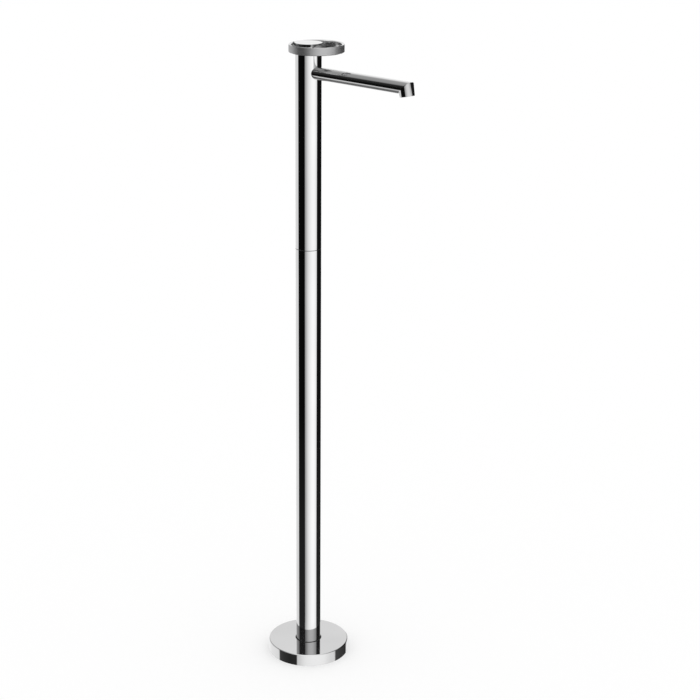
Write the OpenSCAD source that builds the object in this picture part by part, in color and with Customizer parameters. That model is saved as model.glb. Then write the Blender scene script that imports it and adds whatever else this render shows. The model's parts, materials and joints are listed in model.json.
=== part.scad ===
// Floor-standing basin mixer: a slim column on a round floor cover, a bar spout with a
// leaning outlet, and an off-centre ring handle that turns for warmth and lifts for flow.
// Millimetres. The origin is on the floor, on the column's axis. +Z is up, +X is the spout's way.

/* [Overall] */
// Height from the floor to the top of the ring handle
overall_h = 1085; // [950:5:1200]

/* [Floor cover and plate] */
// Diameter of the round floor cover
base_d = 140; // [132:1:170]
// Height of the floor cover
base_h = 21; // [20:0.5:30]
// Sheet thickness of the floor cover
base_wall = 2; // [1.5:0.1:2.5]
// Chamfer along the cover's upper edge
base_edge = 1; // [0.3:0.1:1.4]
// Width of the dark sealing ring between the column and the cover
seal_w = 1.7; // [1.3:0.1:3]
// Height of the sealing ring
seal_h = 4; // [3:0.5:5]
// How far the sealing ring lies below the cover's top
seal_recess = 0.4; // [0.1:0.1:1]
// Thickness of the floor plate
plate_t = 6; // [5:0.5:6.5]
// Free space between the floor plate and the cover
plate_room = 3; // [1:0.5:6]
// Diameter of the circle on which the floor anchors stand
anchor_circle = 100; // [92:1:106]
// Number of floor anchors
anchor_count = 4; // [3:1:6]
// Diameter of a floor anchor hole
anchor_hole = 8.5; // [6.5:0.5:10]

/* [Column] */
// Outer diameter of the column
column_d = 43; // [41:0.5:50]
// Wall of the column tubes
column_wall = 1.5; // [1:0.1:2.2]
// Height of the parting line above the floor
parting_h = 744; // [500:1:850]
// Thickness of the gasket in the parting line
parting_t = 0.5; // [0.3:0.1:2]
// How far the gasket lies inside the column's surface
parting_inset = 0.3; // [0:0.1:0.6]
// Length of the sleeve that joins the two tubes
sleeve_l = 80; // [50:1:120]
// Wall of the joining sleeve
sleeve_wall = 2.5; // [2:0.1:3.5]
// Height of the socket's spigot inside the column
socket_h = 64; // [52:1:90]
// Wall of the socket's spigot
socket_wall = 4; // [3:0.5:5]
// Thickness of the socket's flange
flange_t = 5; // [4:0.5:5.5]
// How far the socket's flange stands out from the column
flange_w = 10.5; // [10:0.5:14]
// Number of screws that hold the socket on the floor plate
socket_screw_count = 4; // [3:1:8]
// Number of grub screws that hold the column on its socket
grub_count = 3; // [2:1:4]
// Height of the grub screws above the flange
grub_rise = 4; // [3.5:0.5:10]

/* [Spout] */
// Distance of the spout's axis below the column's top
spout_drop = 32.5; // [31.5:0.5:34]
// Height of the flattened bar
spout_h = 20; // [19:0.5:21.5]
// Diameter of the round outlet, which also sets the width of the bar
outlet_d = 23.5; // [22:0.5:28]
// Wall of the spout
spout_wall = 1.5; // [1.2:0.1:2]
// Distance from the column's axis to the outlet's axis
spout_reach = 212; // [120:1:260]
// Lean of the outlet away from the column, in degrees
outlet_tilt = 11; // [0:1:20]
// Length of the outlet below the bar's axis
outlet_l = 13; // [12:0.5:30]
// Length of the solid root that slides over the nipple
root_l = 17; // [14:1:30]

/* [Ring handle] */
// Outer diameter of the ring
ring_d = 90; // [80:1:110]
// Wall of the ring
ring_wall = 4.2; // [3.4:0.1:6]
// Height of the ring's band
ring_h = 13; // [12:0.5:16]
// Bevel along both edges of the ring's band
ring_edge = 0.8; // [0.3:0.1:1.4]
// Thickness of the disc in the ring
disc_t = 5; // [4.5:0.5:6]
// How far the disc stands out past the column's radius
disc_over = 0.9; // [0.3:0.1:2]
// Width of the web where the disc meets the ring
web_w = 24; // [12:1:30]
// Gap between the ring's lower edge and the column's top
top_gap = 1.5; // [1:0.1:4]
// Depth of the lift pivot below the column's top
pivot_drop = 10; // [9.5:0.1:10.5]
// Wall of the ball skirt under the disc
ball_wall = 2; // [1.5:0.1:2.2]

/* [Valve] */
// Outer diameter of the ceramic cartridge
cartridge_d = 25; // [24:0.5:26]
// Length of the lever arm below the lift pivot
arm_l = 15; // [14.6:0.1:15.3]
// Width of the square lever stem
stem_w = 6.5; // [5.5:0.1:6.8]
// Diameter of the lever's cross pin
pin_d = 3; // [2.5:0.1:3.6]
// Outer diameter of the supply tubes
tube_d = 8; // [7:0.5:9]
// Wall of the supply tubes
tube_wall = 1; // [0.7:0.1:1.5]
// Distance between the two supply tubes
tube_spacing = 15; // [14.5:0.1:16]
// Outer diameter of the inlet tails, which the supply hoses are pushed on
tail_d = 10; // [9.5:0.1:10.5]
// Height of the inlet tails' free ends above the floor
tail_z = 4; // [2:0.5:8]

/* [Hidden] */
$fn = 96;
eps = 0.01;
// How far a cut runs past the surface that it opens
past = 1;
// Small clearances: a fixed seat, a running fit, and room round a loose piece
seat_fit = 0.05;
run_fit = 0.05;
room = 0.3;

// Column
column_r = column_d / 2;
bore_r = column_r - column_wall;
spigot_r = bore_r - seat_fit;
collar_t = 1.5;
collar_depth = 6;
column_top = overall_h - ring_h - top_gap;
tube_top = column_top - collar_t;
flange_top = plate_t + flange_t;
flange_r = column_r + flange_w;
socket_bore_r = spigot_r - socket_wall;
sleeve_z = parting_h - sleeve_l / 2;
groove_r = 1;

// Floor parts
base_r = base_d / 2;
cover_bore_r = column_r + seal_w;
plate_r = base_r - base_wall - plate_room;
socket_screw_d = 5;
socket_head_d = 8.5;
socket_head_h = 3;
hex_key = 4;
grub_d = 5;
grub_l = bore_r - socket_bore_r + column_wall - room;
grub_z = flange_top + grub_rise;
grub_turn = 45;

// Supply tubes
tube_r = tube_d / 2;
tube_y = tube_spacing / 2;
tail_r = tail_d / 2;
tail_step = 0.5;
tail_l = 30;
tail_socket_l = 18;
tube_bottom = tail_z + tail_l;
filter_h = 10;
filter_sheet = 0.5;
filter_below = 1;
guide_t = 8;
bead_t = 2;
bead_w = 1.2;
push_in = 12;
tube_end_gap = 1;
m3_r = 1.5;
m3_head_r = 2.75;
m3_head_l = 2.5;
retainer_t = 3;
retainer_inset = 1;
retainer_screw_l = 8;
retainer_screw_inset = 6;

// Valve body, with heights counted from the lift pivot
pivot_z = column_top - pivot_drop;
spout_z = column_top - spout_drop;
body_gap = 0.4;
body_r = bore_r - body_gap;
body_top_drop = 5;
body_floor_drop = 33.5;
body_l = 50;
retainer_screw_x = body_r - retainer_screw_inset;
body_top = pivot_z - body_top_drop;
body_bottom = body_top - body_l;
body_floor = pivot_z - body_floor_drop;
body_ring_inset = 4;
body_ring_zs = [body_top - body_ring_inset, body_bottom + body_ring_inset];
body_ring_r = 0.75;
body_groove = 1.2;
retainer_z = body_bottom - bead_t - retainer_t - seat_fit;
cart_r = cartridge_d / 2;
cart_shoulder_drop = 12;
cart_fit = 0.1;
cart_wall = 1.9;
cart_shoulder = pivot_z - cart_shoulder_drop;
cart_foot = body_floor + cart_fit;
cart_bore_r = cart_r - cart_wall;
cart_ceiling = cart_shoulder - cart_wall;
neck_step = 2.5;
neck_wall = 1.95;
neck_top_drop = 1;
neck_r = cart_r - neck_step;
neck_bore_r = neck_r - neck_wall;
neck_top = pivot_z - neck_top_drop;
housing_ring_r = 0.42;
housing_ring_sunk = 0.35;
housing_groove_w = 1.6;
housing_groove_depth = 0.9;
housing_ring_z = cart_shoulder - cart_wall;
window_w = 6;
window_h = 6;
window_drop = 3;
nut_step = 2;
nut_seat = 0.5;
nut_top_drop = 3.5;
nut_slot_w = 3;
nut_slot_depth = 2;
nut_slot_count = 6;
nut_r = cart_r + nut_step;
nut_top = pivot_z - nut_top_drop;
chamber_h = 15;
chamber_room = 3;
chamber_r = cart_r + chamber_room;
chamber_z = spout_z - chamber_h / 2;
port_y = 5;
port_r = 2.2;
outlet_port_x = 5.5;
outlet_port_r = 2.6;
feed_y = (port_y + tube_y) / 2;
feed_seal_w = 1.1;
feed_seal_h = 0.9;
nipple_r = 7;
nipple_bore_r = 5;
nipple_ring_r = 0.45;
nipple_groove_w = 1.8;
nipple_groove_depth = 1;
nipple_ring_inset = 3;
nipple_end_gap = 2;
nipple_end_inset = 2;
grub_groove_depth = 0.8;
nipple_in = chamber_r - room;
nipple_out = column_r + root_l - nipple_end_gap;
nipple_ring_xs = [column_r + nipple_ring_inset, nipple_out - nipple_end_inset];

// Ceramic discs and slider, stacked down from the carrier's flange
carrier_r = neck_bore_r - run_fit;
carrier_rise = 3.5;
carrier_play = 0.1;
carrier_top = pivot_z + carrier_rise;
carrier_flange_top = cart_ceiling - carrier_play;
carrier_flange_t = 4;
carrier_flange_r = cart_bore_r - room;
disc_gap = 0.05;
slider_play = 0.2;
slider_top = carrier_flange_top - carrier_flange_t - slider_play;
slider_t = 3;
ceramic_t = 3;
moving_z = slider_top - slider_t - ceramic_t;
fixed_z = moving_z - disc_gap - ceramic_t;
lift_limit = 18;
slider_travel = arm_l * sin(lift_limit);
slider_r = cart_bore_r - room - slider_travel / 2;
slider_x = -slider_travel / 2;
ball_tip_r = 2.5;
tip_play = 0.09;
tip_well = 1;
arm_r = 1.6;
arm_run_in = 3;
stem_foot_drop = 3.5;
tip_bore_r = ball_tip_r + tip_play;
boss_r = 4.3;
boss_room = 0.4;
boss_top = cart_ceiling - slider_play;
pocket_wall = 3;
slot_back = 5;
slot_l = 11.4;
fixed_disc_r = cart_bore_r - cart_fit;

// Handle
ring_r = ring_d / 2;
ring_bore_r = ring_r - ring_wall;
disc_r = column_r + disc_over;
ring_x = ring_bore_r - disc_r - seat_fit;
ring_z = overall_h - ring_h;
disc_z = overall_h - disc_t;
ball_inset = 2;
ball_gap = 0.4;
ball_foot_rise = 1.9;
ball_r = bore_r - ball_inset;
ball_foot = pivot_z + ball_foot_rise;
neck_of_disc_r = 9;
neck_overlap = 3;
stem_boss_r = 7;
stem_boss_rise = 8;
stem_boss_z = pivot_z + stem_boss_rise;
stem_cap = 1.6;
stem_end_gap = 0.2;
stem_top = overall_h - stem_cap - stem_end_gap;
rib_w = 7;
rib_h = 2;
rib_x = neck_of_disc_r - past;
screw_rise = 1;
handle_screw_z = disc_z + screw_rise;
screw_seat = 0.8;
screw_head_r = 2.6;
screw_head_l = 1.4;
plug_t = 1;

// Spout
bar_r = spout_h / 2;
outlet_r = outlet_d / 2;
mitre_step = 0.15;
bar_half = outlet_r + mitre_step;
bar_offset = bar_half - bar_r;
bar_overlap = 8;
bar_start = column_r - bar_overlap;
mitre_angle = atan2(cos(outlet_tilt), bar_half / bar_r - sin(outlet_tilt));
cut_size = 4 * outlet_d;
aerator_r = 9.25;
aerator_l = 8;
aerator_recess = 0.6;
aerator_rim = 1.3;
aerator_floor = 1;
washer_t = 1;
key_notch_r = 0.7;
key_notch_count = 8;
jet_r = 0.75;
jet_rings = 3;
spout_grub_r = 2;
spout_grub_socket = 1.5;
spout_grub_x = column_r + root_l / 2;

// A plain tube that stands on z = 0
module tube(r_out, r_in, h) {
    difference() {
        cylinder(r = r_out, h = h);
        translate([0, 0, -eps]) cylinder(r = r_in, h = h + 2 * eps);
    }
}

// A rubber ring of round section in the plane z = 0
module o_ring(r_mid, r_section) {
    rotate_extrude() translate([r_mid, 0]) circle(r = r_section, $fn = 32);
}

// The groove that such a ring lies in, cut into the outside of a shaft
module shaft_groove(r_shaft, depth, width) {
    translate([0, 0, -width / 2]) tube(r_shaft + past, r_shaft - depth, width);
}

// Copies its children at both supply tubes
module at_both_tubes() {
    for (side = [-1, 1]) translate([0, side * tube_y, 0]) children();
}

// Copies its children round the column's axis
module around(count, first = 0) {
    for (i = [0 : count - 1]) rotate([0, 0, first + i * 360 / count]) children();
}

// A hexagon socket in a screw's head, cut down from z = 0
module hex_socket(across, depth) {
    translate([0, 0, -depth]) cylinder(d = across / cos(30), h = depth + eps, $fn = 6);
}

// Steel plate that is bolted to the floor under the cover
module floor_plate() {
    color("silver") difference() {
        cylinder(r = plate_r, h = plate_t);
        translate([0, 0, -eps]) cylinder(r = socket_bore_r, h = plate_t + 2 * eps);
        around(anchor_count, 45)
            translate([anchor_circle / 2, 0, -eps]) cylinder(d = anchor_hole, h = plate_t + past);
        around(socket_screw_count)
            translate([column_r + flange_w / 2, 0, -eps])
                cylinder(d = socket_screw_d + 2 * seat_fit, h = plate_t + past);
    }
}

// Flanged socket that the column is pushed over
module column_socket() {
    color("goldenrod") difference() {
        union() {
            translate([0, 0, plate_t]) cylinder(r = flange_r, h = flange_t);
            translate([0, 0, flange_top]) cylinder(r = spigot_r, h = socket_h);
        }
        translate([0, 0, plate_t - eps]) cylinder(r = socket_bore_r, h = flange_t + socket_h + past);
        around(socket_screw_count)
            translate([column_r + flange_w / 2, 0, plate_t - eps])
                cylinder(d = socket_screw_d + 2 * seat_fit, h = flange_t + past);
        around(grub_count, grub_turn)
            translate([socket_bore_r - past, 0, grub_z]) rotate([0, 90, 0])
                cylinder(d = grub_d + 2 * seat_fit, h = socket_wall + 2 * past);
    }
}

// Cap screws that hold the socket on the plate
module socket_screws() {
    color("dimgray") around(socket_screw_count)
        translate([column_r + flange_w / 2, 0, flange_top]) difference() {
            union() {
                cylinder(d = socket_head_d, h = socket_head_h);
                translate([0, 0, -flange_t - plate_t + room])
                    cylinder(d = socket_screw_d, h = flange_t + plate_t);
            }
            translate([0, 0, socket_head_h]) hex_socket(hex_key, socket_head_h / 2);
        }
}

// Grub screws through the column's foot into the socket
module column_grub_screws() {
    color("dimgray") around(grub_count, grub_turn)
        translate([column_r - room, 0, grub_z]) rotate([0, 90, 0]) difference() {
            translate([0, 0, -grub_l]) cylinder(d = grub_d, h = grub_l);
            hex_socket(grub_d / 2, grub_l / 2);
        }
}

// Chromed floor cover: a round shell open below, with a collar that holds the seal
module floor_cover() {
    collar_w = 2;
    collar_below = 1;
    collar_l = seal_recess + seal_h + collar_below;
    groove_z = base_h - seal_recess - seal_h / 2;
    color("gainsboro") rotate_extrude() difference() {
        union() {
            difference() {
                polygon([
                    [cover_bore_r, 0], [base_r, 0], [base_r, base_h - base_edge],
                    [base_r - base_edge, base_h], [cover_bore_r, base_h]
                ]);
                translate([cover_bore_r - past, -past])
                    square([base_r - base_wall - cover_bore_r + past, base_h - base_wall + past]);
            }
            translate([cover_bore_r, base_h - collar_l]) square([collar_w, collar_l]);
        }
        translate([cover_bore_r, groove_z]) circle(r = groove_r, $fn = 32);
    }
}

// Dark rubber ring that closes the gap round the column and grips the cover
module cover_seal() {
    seal_top = base_h - seal_recess;
    color("black") rotate_extrude() union() {
        translate([column_r + seat_fit, seal_top - seal_h])
            square([seal_w - 2 * seat_fit, seal_h]);
        translate([cover_bore_r - seat_fit, seal_top - seal_h / 2])
            circle(r = groove_r - seat_fit, $fn = 32);
    }
}

// Lower tube of the column, from the socket's flange to the parting line
module lower_column() {
    color("gainsboro") difference() {
        translate([0, 0, flange_top])
            tube(column_r, bore_r, parting_h - parting_t / 2 - flange_top);
        around(grub_count, grub_turn)
            translate([bore_r - past, 0, grub_z]) rotate([0, 90, 0])
                cylinder(d = grub_d + 2 * seat_fit, h = column_wall + 2 * past);
    }
}

// Sleeve inside the column that carries the upper tube
module joint_sleeve() {
    color("goldenrod") difference() {
        translate([0, 0, sleeve_z]) tube(spigot_r, spigot_r - sleeve_wall, sleeve_l);
        for (side = [-1, 1])
            translate([0, 0, parting_h + side * sleeve_l / 4])
                shaft_groove(spigot_r, groove_r, 2 * groove_r + room);
    }
}

// One rubber ring in each half of the sleeve
module joint_o_rings() {
    color("black") for (side = [-1, 1])
        translate([0, 0, parting_h + side * sleeve_l / 4])
            o_ring(bore_r - groove_r / 2 - seat_fit, groove_r / 2);
}

// Thin dark gasket that shows as the parting line
module parting_gasket() {
    color("black") translate([0, 0, parting_h - parting_t / 2])
        tube(column_r - parting_inset, bore_r + seat_fit, parting_t);
}

// Upper tube of the column, with the hole for the spout's nipple
module upper_column() {
    foot = parting_h + parting_t / 2;
    color("gainsboro") difference() {
        translate([0, 0, foot]) tube(column_r, bore_r, tube_top - foot);
        translate([0, 0, spout_z]) rotate([0, 90, 0])
            cylinder(r = nipple_r + room, h = column_r + past);
    }
}

// Trim ring in the column's mouth, hollowed to follow the ball skirt
module top_collar() {
    color("gainsboro") difference() {
        union() {
            translate([0, 0, tube_top]) cylinder(r = column_r, h = collar_t);
            translate([0, 0, tube_top - collar_depth]) cylinder(r = spigot_r, h = collar_depth);
        }
        translate([0, 0, pivot_z]) sphere(r = ball_r + ball_gap, $fn = 128);
    }
}

// A tube end with a socket above for the supply tube and a bore for the filter below
module inlet_tail() {
    difference() {
        union() {
            translate([0, 0, tail_z]) cylinder(r = tail_r, h = tail_l);
            translate([0, 0, tube_bottom - eps])
                cylinder(r = tail_r + tail_step, h = tail_socket_l);
        }
        translate([0, 0, tail_z - eps]) cylinder(r = tube_r - tube_wall, h = tail_l + past);
        translate([0, 0, tube_bottom]) cylinder(r = tube_r + seat_fit, h = tail_socket_l + past);
    }
}

// Hot is on the left of a person who faces the spout
module hot_inlet_tail() {
    color("goldenrod") translate([0, -tube_y, 0]) inlet_tail();
}

module cold_inlet_tail() {
    color("goldenrod") translate([0, tube_y, 0]) inlet_tail();
}

// Perforated cups that keep grit out, one in each inlet
module inlet_filters() {
    filter_r = tube_r - tube_wall - seat_fit;
    filter_z = tube_bottom - filter_below - filter_h;
    color("silver") at_both_tubes() translate([0, 0, filter_z]) difference() {
        cylinder(r = filter_r, h = filter_h);
        translate([0, 0, filter_sheet]) cylinder(r = filter_r - filter_sheet, h = filter_h);
        around(6) translate([filter_r / 2, 0, -eps])
            cylinder(r = filter_r / 5, h = 2 * filter_sheet);
    }
}

// A supply tube with the bead that the retainer holds
module supply_tube() {
    top = body_bottom + push_in - tube_end_gap;
    difference() {
        union() {
            translate([0, 0, tube_bottom + seat_fit])
                cylinder(r = tube_r, h = top - tube_bottom - seat_fit);
            translate([0, 0, body_bottom - bead_t - seat_fit])
                cylinder(r = tube_r + bead_w, h = bead_t);
        }
        translate([0, 0, tube_bottom]) cylinder(r = tube_r - tube_wall, h = top);
        translate([0, 0, body_bottom + push_in / 2])
            shaft_groove(tube_r, tube_wall / 2, 2 * tube_wall);
    }
}

module hot_tube() {
    color("chocolate") translate([0, -tube_y, 0]) supply_tube();
}

module cold_tube() {
    color("chocolate") translate([0, tube_y, 0]) supply_tube();
}

// Plastic disc that keeps the two tubes apart
module tube_guide(r, z) {
    translate([0, 0, z]) difference() {
        cylinder(r = r, h = guide_t);
        at_both_tubes() translate([0, 0, -eps]) cylinder(r = tube_r + seat_fit, h = guide_t + past);
    }
}

module lower_tube_guide() {
    color("ivory") tube_guide(socket_bore_r - seat_fit, flange_top + socket_h - guide_t);
}

module middle_tube_guide() {
    color("ivory") tube_guide(spigot_r - sleeve_wall - seat_fit, parting_h - guide_t / 2);
}

// Rubber rings on the upper tube ends
module tube_o_rings() {
    color("black") at_both_tubes() translate([0, 0, body_bottom + push_in / 2])
        o_ring(tube_r - tube_wall / 4 + seat_fit / 2, tube_wall / 4);
}

// Copies its children at both retainer screws, from the plate's underside up
module at_retainer_screws() {
    for (side = [-1, 1]) translate([side * retainer_screw_x, 0, retainer_z]) children();
}

// Plate that holds both tube beads against the valve body
module tube_retainer() {
    color("silver") difference() {
        translate([0, 0, retainer_z]) cylinder(r = body_r - retainer_inset, h = retainer_t + bead_t);
        at_both_tubes() {
            translate([0, 0, retainer_z - eps])
                cylinder(r = tube_r + seat_fit, h = retainer_t + past);
            translate([0, 0, retainer_z + retainer_t])
                cylinder(r = tube_r + bead_w + seat_fit, h = bead_t + past);
        }
        at_retainer_screws() translate([0, 0, -eps])
            cylinder(r = m3_r + seat_fit, h = retainer_t + bead_t + past);
    }
}

// Two screws that draw the retainer up to the valve body
module retainer_screws() {
    color("dimgray") at_retainer_screws() difference() {
        union() {
            translate([0, 0, -m3_head_l]) cylinder(r = m3_head_r, h = m3_head_l);
            cylinder(r = m3_r, h = retainer_t + bead_t + retainer_screw_l - room);
        }
        translate([0, 0, -m3_head_l - eps]) cylinder(r = m3_head_r / 2, h = m3_head_l / 2, $fn = 6);
    }
}

// Brass body that holds the cartridge, feeds it from below and the spout from its side
module valve_body() {
    color("goldenrod") difference() {
        translate([0, 0, body_bottom]) cylinder(r = body_r, h = body_top - body_bottom);
        translate([0, 0, body_floor])
            cylinder(r = cart_r + cart_fit, h = body_top - body_floor + past);
        translate([0, 0, cart_shoulder - nut_seat])
            cylinder(r = nut_r + seat_fit, h = body_top - cart_shoulder + nut_seat + past);
        translate([0, 0, chamber_z]) cylinder(r = chamber_r, h = chamber_h);
        translate([0, 0, spout_z]) rotate([0, 90, 0])
            cylinder(r = nipple_r + seat_fit, h = body_r + past);
        at_both_tubes() translate([0, 0, body_bottom - eps])
            cylinder(r = tube_r + seat_fit, h = push_in);
        for (side = [-1, 1]) {
            translate([0, side * feed_y, body_bottom])
                cylinder(r = port_r, h = body_floor - body_bottom + past);
            translate([side * retainer_screw_x, 0, body_bottom - eps])
                cylinder(r = m3_r + seat_fit, h = retainer_screw_l + room);
        }
        for (z = body_ring_zs)
            translate([0, 0, z]) shaft_groove(body_r, body_groove, 2 * body_ring_r + room);
    }
}

// Rubber rings that centre the body in the column
module body_o_rings() {
    color("black") for (z = body_ring_zs)
        translate([0, 0, z]) o_ring(bore_r - body_ring_r - seat_fit, body_ring_r);
}

// Plastic shell of the cartridge, with windows that let the mixed water out
module cartridge_housing() {
    color("whitesmoke") difference() {
        union() {
            translate([0, 0, cart_foot]) cylinder(r = cart_r, h = cart_shoulder - cart_foot);
            translate([0, 0, cart_shoulder - eps]) cylinder(r = neck_r, h = neck_top - cart_shoulder);
        }
        translate([0, 0, cart_foot - eps]) cylinder(r = cart_bore_r, h = cart_ceiling - cart_foot);
        translate([0, 0, cart_foot]) cylinder(r = neck_bore_r, h = neck_top - cart_foot + past);
        translate([0, 0, fixed_z - window_drop]) around(4)
            translate([cart_bore_r - past, -window_w / 2, 0])
                cube([cart_wall + 2 * past, window_w, window_h]);
        translate([0, 0, housing_ring_z])
            shaft_groove(cart_r, housing_groove_depth, housing_groove_w);
    }
}

// Rubber ring between the cartridge and the body
module housing_o_ring() {
    color("black") translate([0, 0, housing_ring_z])
        o_ring(cart_r - housing_ring_sunk, housing_ring_r);
}

// Plug that closes the cartridge and carries the fixed disc
module cartridge_base() {
    color("whitesmoke") difference() {
        translate([0, 0, cart_foot]) cylinder(r = cart_bore_r - seat_fit, h = fixed_z - cart_foot);
        for (side = [-1, 1]) {
            translate([0, side * port_y, cart_foot - eps]) cylinder(r = port_r, h = fixed_z);
            translate([0, side * feed_y, cart_foot - eps])
                cylinder(r = port_r + feed_seal_w + cart_fit, h = feed_seal_h + cart_fit);
        }
        translate([outlet_port_x - outlet_port_r, -window_w / 2, fixed_z - window_drop])
            cube([cart_r, window_w, window_drop + past]);
    }
}

// Rubber rings between the plug and the body's floor
module cartridge_seals() {
    color("black") for (side = [-1, 1])
        translate([0, side * feed_y, body_floor])
            tube(port_r + feed_seal_w, port_r, cart_foot + feed_seal_h - body_floor);
}

// Ceramic disc that stays still, with two inlet ports and one outlet port
module fixed_ceramic_disc() {
    color("white") difference() {
        translate([0, 0, fixed_z]) cylinder(r = fixed_disc_r, h = ceramic_t);
        for (side = [-1, 1])
            translate([0, side * port_y, fixed_z - eps])
                cylinder(r = port_r, h = ceramic_t + past);
        translate([outlet_port_x, 0, fixed_z - eps])
            cylinder(r = outlet_port_r, h = ceramic_t + past);
    }
}

// Threaded ring that holds the cartridge down
module cartridge_nut() {
    color("goldenrod") difference() {
        translate([0, 0, cart_shoulder]) tube(nut_r, neck_r + room, nut_top - cart_shoulder);
        around(nut_slot_count) translate([neck_r, -nut_slot_w / 2, nut_top - nut_slot_depth])
            cube([nut_r, nut_slot_w, nut_slot_depth + past]);
    }
}

// Part of the cartridge that turns with the handle and holds the lever's pin
module lever_carrier() {
    flange_z = carrier_flange_top - carrier_flange_t;
    slot_foot = cart_shoulder;
    color("lightgray") difference() {
        union() {
            translate([0, 0, flange_z]) cylinder(r = carrier_flange_r, h = carrier_flange_t);
            translate([0, 0, flange_z]) cylinder(r = carrier_r, h = carrier_top - flange_z);
        }
        translate([-slot_back, -stem_w / 2 - room, slot_foot])
            cube([slot_l, stem_w + 2 * room, carrier_top - slot_foot + past]);
        translate([-boss_r - boss_room, -boss_r - boss_room, flange_z - past])
            cube([2 * cart_r, 2 * (boss_r + boss_room), slot_foot - flange_z + past + eps]);
        translate([0, -carrier_r - past, pivot_z]) rotate([-90, 0, 0])
            cylinder(d = pin_d + seat_fit, h = 2 * (carrier_r + past));
    }
}

// Cross pin on which the lever lifts
module lever_pin() {
    color("silver") translate([0, room - carrier_r, pivot_z]) rotate([-90, 0, 0])
        cylinder(d = pin_d, h = 2 * (carrier_r - room));
}

// Slider that carries the moving disc and is pushed by the lever's tip
module disc_slider() {
    color("lightgray") difference() {
        union() {
            translate([slider_x, 0, slider_top - slider_t]) cylinder(r = slider_r, h = slider_t);
            translate([0, 0, slider_top - eps]) cylinder(r = boss_r, h = boss_top - slider_top);
        }
        translate([0, 0, slider_top - tip_well])
            cylinder(r = tip_bore_r, h = boss_top - slider_top + tip_well + past);
    }
}

// Ceramic disc that slides and turns over the fixed one, with its mixing pocket below
module moving_ceramic_disc() {
    color("white") difference() {
        translate([slider_x, 0, moving_z]) cylinder(r = slider_r, h = ceramic_t);
        translate([slider_x, 0, moving_z - eps]) cylinder(r = slider_r - pocket_wall, h = ceramic_t / 2);
    }
}

// Steel lever: square above for the handle, a ball tip below for the slider
module lever_stem() {
    block_foot = pivot_z - stem_foot_drop;
    color("silver") difference() {
        union() {
            translate([-stem_w / 2, -stem_w / 2, block_foot])
                cube([stem_w, stem_w, stem_top - block_foot]);
            translate([0, 0, pivot_z - arm_l]) cylinder(r = arm_r, h = arm_l - arm_run_in);
            translate([0, 0, pivot_z - arm_l]) sphere(r = ball_tip_r, $fn = 48);
        }
        translate([0, -stem_w, pivot_z]) rotate([-90, 0, 0])
            cylinder(d = pin_d + 2 * run_fit, h = 2 * stem_w);
    }
}

// Mirror disc of the handle, with the ball skirt that closes the column's mouth
module handle_disc() {
    color("whitesmoke") difference() {
        union() {
            translate([0, 0, disc_z]) cylinder(r = disc_r, h = disc_t);
            translate([0, 0, pivot_z + ball_r - neck_overlap])
                cylinder(r = neck_of_disc_r, h = disc_z - pivot_z - ball_r + neck_overlap + eps);
            difference() {
                translate([0, 0, pivot_z]) sphere(r = ball_r, $fn = 128);
                translate([0, 0, pivot_z]) sphere(r = ball_r - ball_wall, $fn = 128);
                translate([0, 0, ball_foot - 2 * ball_r]) cylinder(r = 2 * ball_r, h = 2 * ball_r);
            }
            translate([0, 0, stem_boss_z]) cylinder(r = stem_boss_r, h = disc_z - stem_boss_z + eps);
            intersection() {
                translate([0, 0, disc_z - rib_h]) cylinder(r = disc_r, h = rib_h + eps);
                translate([-disc_r, -rib_w / 2, disc_z - rib_h])
                    cube([disc_r - rib_x, rib_w, rib_h + eps]);
            }
        }
        translate([-stem_w / 2 - seat_fit, -stem_w / 2 - seat_fit, stem_boss_z - past])
            cube([
                stem_w + 2 * seat_fit, stem_w + 2 * seat_fit,
                overall_h - stem_cap - stem_boss_z + past
            ]);
        translate([0, 0, handle_screw_z]) rotate([0, -90, 0])
            cylinder(r = m3_r + seat_fit, h = disc_r + past);
    }
}

// Open ring that the hand holds, with the web that seats against the disc
module handle_ring() {
    color("darkgray") difference() {
        union() {
            translate([ring_x, 0, ring_z]) rotate_extrude() polygon([
                [ring_bore_r, ring_edge], [ring_bore_r + ring_edge, 0],
                [ring_r - ring_edge, 0], [ring_r, ring_edge],
                [ring_r, ring_h - ring_edge], [ring_r - ring_edge, ring_h],
                [ring_bore_r + ring_edge, ring_h], [ring_bore_r, ring_h - ring_edge]
            ]);
            translate([0, 0, disc_z]) linear_extrude(disc_t) difference() {
                intersection() {
                    translate([ring_x, 0]) circle(r = ring_r - ring_edge);
                    translate([-ring_r, -web_w / 2]) square([ring_r, web_w]);
                }
                circle(r = disc_r + seat_fit);
            }
        }
        translate([0, 0, handle_screw_z]) rotate([0, -90, 0]) {
            cylinder(r = m3_r + seat_fit, h = 2 * ring_r);
            translate([0, 0, disc_r + screw_seat])
                cylinder(r = screw_head_r + seat_fit, h = ring_r);
        }
    }
}

// Long screw that clamps the ring and the disc to the stem
module handle_screw() {
    head_z = disc_r + screw_seat + seat_fit;
    tip_z = stem_w / 2 + seat_fit;
    color("dimgray") translate([0, 0, handle_screw_z]) rotate([0, -90, 0]) difference() {
        union() {
            translate([0, 0, tip_z]) cylinder(r = m3_r, h = head_z - tip_z + eps);
            translate([0, 0, head_z]) cylinder(r = screw_head_r, h = screw_head_l);
        }
        translate([0, 0, head_z + screw_head_l]) hex_socket(screw_head_r, screw_head_l / 2);
    }
}

// Small plug that hides the screw in the back of the ring
module screw_plug() {
    color("gray") translate([0, 0, handle_screw_z]) rotate([0, -90, 0])
        translate([0, 0, disc_r + ring_wall - plug_t]) cylinder(r = screw_head_r, h = plug_t);
}

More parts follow.
